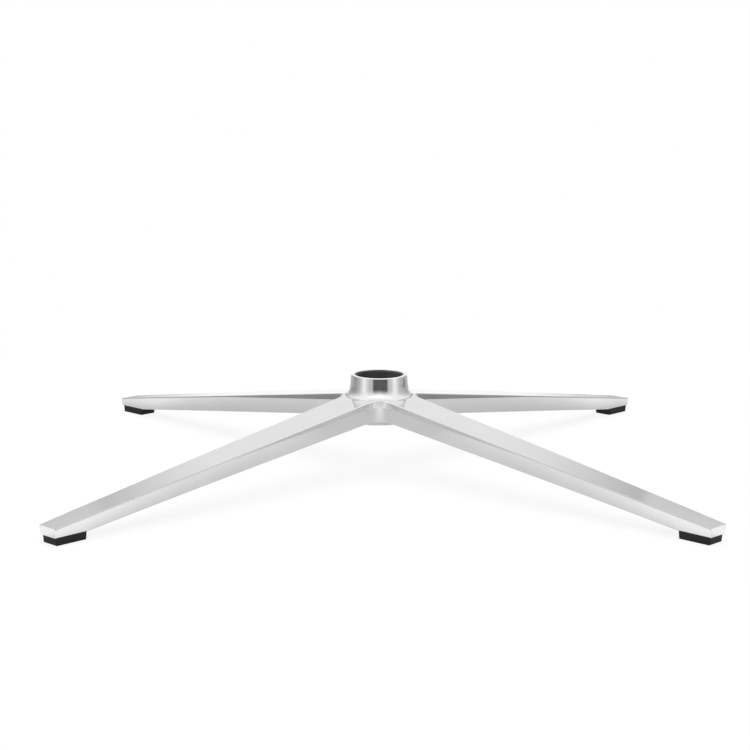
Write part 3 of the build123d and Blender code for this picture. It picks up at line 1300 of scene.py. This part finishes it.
@dataclass(frozen=True)
class ReflectionCards:
    """Cards that only reflections see: on the floor, round the base and under the arms."""

    arm: ArmForm = field(default_factory=ArmForm)
    height: float = 1.0 * MM
    card_from: float = 0.06
    card_to: float = 0.7
    card_levels: tuple[Pair, ...] = ((0.0, 0.2), (0.45, 0.45), (0.0, 0.2), (0.88, 0.88))
    card_fade: Pair = (0.09, 0.2)
    card_grade: Pair = (0.18, 0.27)
    shade_rows: int = 24
    shade_columns: int = 17
    shade_rise: float = 6.0
    shade_full: float = 0.75
    shade_overrun: float = 1.08
    shade_margin: float = 6.0 * MM
    shade_spread: tuple[float, ...] = (1.7, 3.4, 3.4, 1.7)
    shade_levels: tuple[float, ...] = (0.62, 0.55, 0.55, 0.62)
    shade_height: float = 0.3 * MM
    shade_layer: float = 0.1 * MM
    tent_floor: float = 0.42
    tent_floor_level: float = 0.45
    tent_radius: float = 0.72
    tent_height: float = 0.09
    tent_columns: int = 97
    brim_top: float = 0.17
    brim_level: float = 0.78
    front_top: float = 0.7
    front_half: float = 145.0
    front_inset: float = 0.01
    front_columns: int = 73
    tent_levels: tuple[Pair, ...] = (
        (-179, 1.0), (-150, 1.12), (-145, 0.35), (-110, 0.3), (-85, 0.5), (-62, 1.0), (-45, 0.62),
        (-27, 0.55), (-23, 0.08), (31, 0.08), (35, 0.55), (50, 0.62), (64, 1.0), (88, 0.55), (112, 0.45),
        (145, 0.4), (150, 1.12), (179, 1.0),
    )

    def card(self, name: str, grid: Array, material: Material, shade: Array | float = 0.0) -> None:
        """Make one card.

        Args:
            name: The card's name.
            grid: Its points, shape (rows, columns, 3).
            material: Its glow.
            shade: Strength of the shade, for all points or for each one.
        """
        shape = grid.shape[:2]
        mesh = new_mesh(name, grid, grid_quads(*shape))
        set_attribute(mesh, SHADE, np.broadcast_to(shade, shape).ravel())
        mesh.materials.append(material)
        card = new_object(name, mesh)
        card.visible_camera = False
        card.visible_diffuse = False
        card.visible_shadow = False

    def plain_glow(self, name: str, level: float) -> Material:
        """Even glow of a level."""
        sheet = NodeSheet(bpy.data.materials.new(name))
        return sheet.finish(sheet.glow(level))

    def floor_grey(self, beside: float, middle: float) -> Material:
        """Grey between two arms that fades out towards them.

        Args:
            beside: Its brightness beside the arms.
            middle: Its brightness in the middle between them.

        Returns:
            The material.
        """
        sheet = NodeSheet(bpy.data.materials.new("floor_card_grey"))
        axes = sheet.axes()
        sheared = [sheet.math(way, axes["X"], axes["Y"]) for way in ("ADD", "SUBTRACT")]
        near = sheet.math("MINIMUM", *(sheet.math("ABSOLUTE", value) for value in sheared))
        glow = sheet.glow(sheet.ramp(near, self.card_grade, (beside, middle)))
        return sheet.finish(sheet.mix(sheet.ramp(near, self.card_fade), sheet.add("BsdfTransparent"), glow))

    def tent_glow(self) -> Material:
        """Brightness round the base: dark in front, white beside it, grey to the sides, white higher up.

        Returns:
            The material.
        """
        sheet = NodeSheet(bpy.data.materials.new("tent_wall"))
        axes = sheet.axes()
        angle = sheet.math("ARCTAN2", axes["X"], sheet.math("MULTIPLY", axes["Y"], -1.0))
        ramp = sheet.add("ValToRGB", Fac=sheet.ramp(angle, (-pi, pi), kind="LINEAR"))
        stops = ramp.color_ramp.elements
        stops.remove(stops[0])
        for degrees, level in self.tent_levels:
            stops.new((degrees + 180.0) / 360.0).color = (level, level, level, 1.0)
        height = sheet.ramp(axes["Z"], (self.tent_height, self.front_top))
        return sheet.finish(sheet.glow(1.0, sheet.blend(height, ramp.outputs["Color"], WHITE[:3])))

    def shade_grey(self, level: float) -> Material:
        """Grey that fades out away from an arm.

        Args:
            level: Its brightness below the arm.

        Returns:
            The material.
        """
        sheet = NodeSheet(bpy.data.materials.new("arm_shade"))
        share = sheet.ramp(sheet.attribute(SHADE, "Fac"), (0.0, self.shade_full))
        return sheet.finish(sheet.mix(share, sheet.add("BsdfTransparent"), sheet.glow(level)))

    def band(self, radii: Pair, heights: Pair, half: float, columns: int) -> Array:
        """Band round the Z axis between two rows, each with a radius and a height.

        Args:
            radii: Radius of the two rows.
            heights: Height of the two rows.
            half: How far it runs to either side from the front, in degrees.
            columns: Number of places along it.

        Returns:
            Points, shape (2, columns, 3).
        """
        turn = np.linspace(-radians(half), radians(half), columns)
        radius, height = np.array(radii)[:, None], np.array(heights)[:, None]
        return stack(radius * np.sin(turn), -radius * np.cos(turn), height)

    def shade_shares(self) -> Array:
        """Strength of the shade on an arm's strip: a ridge along the arm that rises from the hub axis."""
        across = np.abs(np.linspace(-1.0, 1.0, self.shade_columns))
        return (1.0 - across) * smooth_step(np.linspace(0.0, self.shade_rise, self.shade_rows))[:, None]

    def shade_strip(self, layer: int) -> Array:
        """Strip of floor under an arm, as wide as the arm and some of its height above the floor.

        Args:
            layer: Which arm, so that strips that cross lie one above the other.

        Returns:
            Points along, across and up, shape (rows, columns, 3).
        """
        along = np.linspace(0.0, self.shade_overrun * self.arm.reach, self.shade_rows)[:, None]
        height = self.shade_spread[layer] * self.arm.under(along)
        half = self.arm.under_half(along) + height + self.shade_margin
        across = half * np.linspace(-1.0, 1.0, self.shade_columns)
        return stack(along, across, np.array(self.shade_height + self.shade_layer * layer))

    def build(self) -> None:
        """Make the floor cards between the arms, the round wall with its tall front, and the strips."""
        place = np.array([self.card_from, self.card_to])
        flat = stack(place, place[:, None], np.array(self.height))
        for arm, levels in zip(Arm, self.card_levels):
            self.card(f"floor_card_{arm.place}", arm.turned(flat), self.floor_grey(*levels))
        radius, whole = self.tent_radius, (180.0, self.tent_columns)
        floor = self.band((self.tent_floor, radius), (self.height, self.height), *whole)
        self.card("tent_floor", floor, self.plain_glow("tent_floor", self.tent_floor_level))
        tent = self.tent_glow()
        self.card("tent_wall", self.band((radius, radius), (self.height, self.tent_height), *whole), tent)
        inside, rise = radius - self.front_inset, (self.tent_height, self.front_top)
        self.card("tent_front", self.band((inside, inside), rise, self.front_half, self.front_columns), tent)
        brim = self.band((radius, radius), (self.tent_height, self.brim_top), *whole)
        self.card("tent_brim", brim, self.plain_glow("tent_brim", self.brim_level))
        for layer, arm in enumerate(Arm):
            strip, grey = arm.turned(self.shade_strip(layer)), self.shade_grey(self.shade_levels[layer])
            self.card(f"arm_shade_{arm.place}", strip, grey, self.shade_shares())


@dataclass(frozen=True)
class StudioLight:
    """Softbox overhead and the room round the base."""

    softbox_height: float = 1.6
    softbox_width: float = 1.4
    softbox_power: float = 12.0
    front_range: Pair = (0.0, -0.6)
    front_levels: Pair = (0.72, 0.9)
    low_range: Pair = (0.02, 0.14)
    low_level: float = 0.7
    high_range: Pair = (0.4, 0.8)
    high_level: float = 1.4

    def build(self) -> None:
        """Hang the softbox and set the room."""
        data = bpy.data.lights.new("softbox", "AREA")
        data.shape = "SQUARE"
        data.size = self.softbox_width
        data.energy = self.softbox_power
        lamp = new_object("softbox", data)
        lamp.location = (0.0, 0.0, self.softbox_height)
        lamp.visible_glossy = False
        bpy.context.scene.world = self.room()

    def room(self) -> World:
        """Room that is brighter in front and overhead, darker at the horizon, and white when seen directly.

        Returns:
            The world.
        """
        sheet = NodeSheet(bpy.data.worlds.new("studio_room"))
        axes = sheet.axes("Generated")
        level = sheet.ramp(axes["Y"], self.front_range, self.front_levels)
        heights = ((self.low_range, (self.low_level, 1.0)), (self.high_range, (1.0, self.high_level)))
        for limits, levels in heights:
            level = sheet.math("MULTIPLY", level, sheet.ramp(axes["Z"], limits, levels))
        level = sheet.math("MAXIMUM", level, sheet.add("LightPath").outputs["Is Camera Ray"])
        return sheet.finish(sheet.add("Background", Color=WHITE, Strength=level))


def main() -> None:
    """Dress each sub-assembly in turn, then set up the studio and the camera."""
    logging.basicConfig(level=logging.INFO, format="%(name)s %(message)s")
    for part in (BaseCasting(), ColumnSleeve(), FootPads(), FootScrews()):
        part.dress()
    for stage in (WhiteSweep(), ReflectionCards(), StudioLight(), PhotoCamera()):
        stage.build()
    bpy.context.scene.view_settings.view_transform = "Standard"


if __name__ == "__main__":
    main()
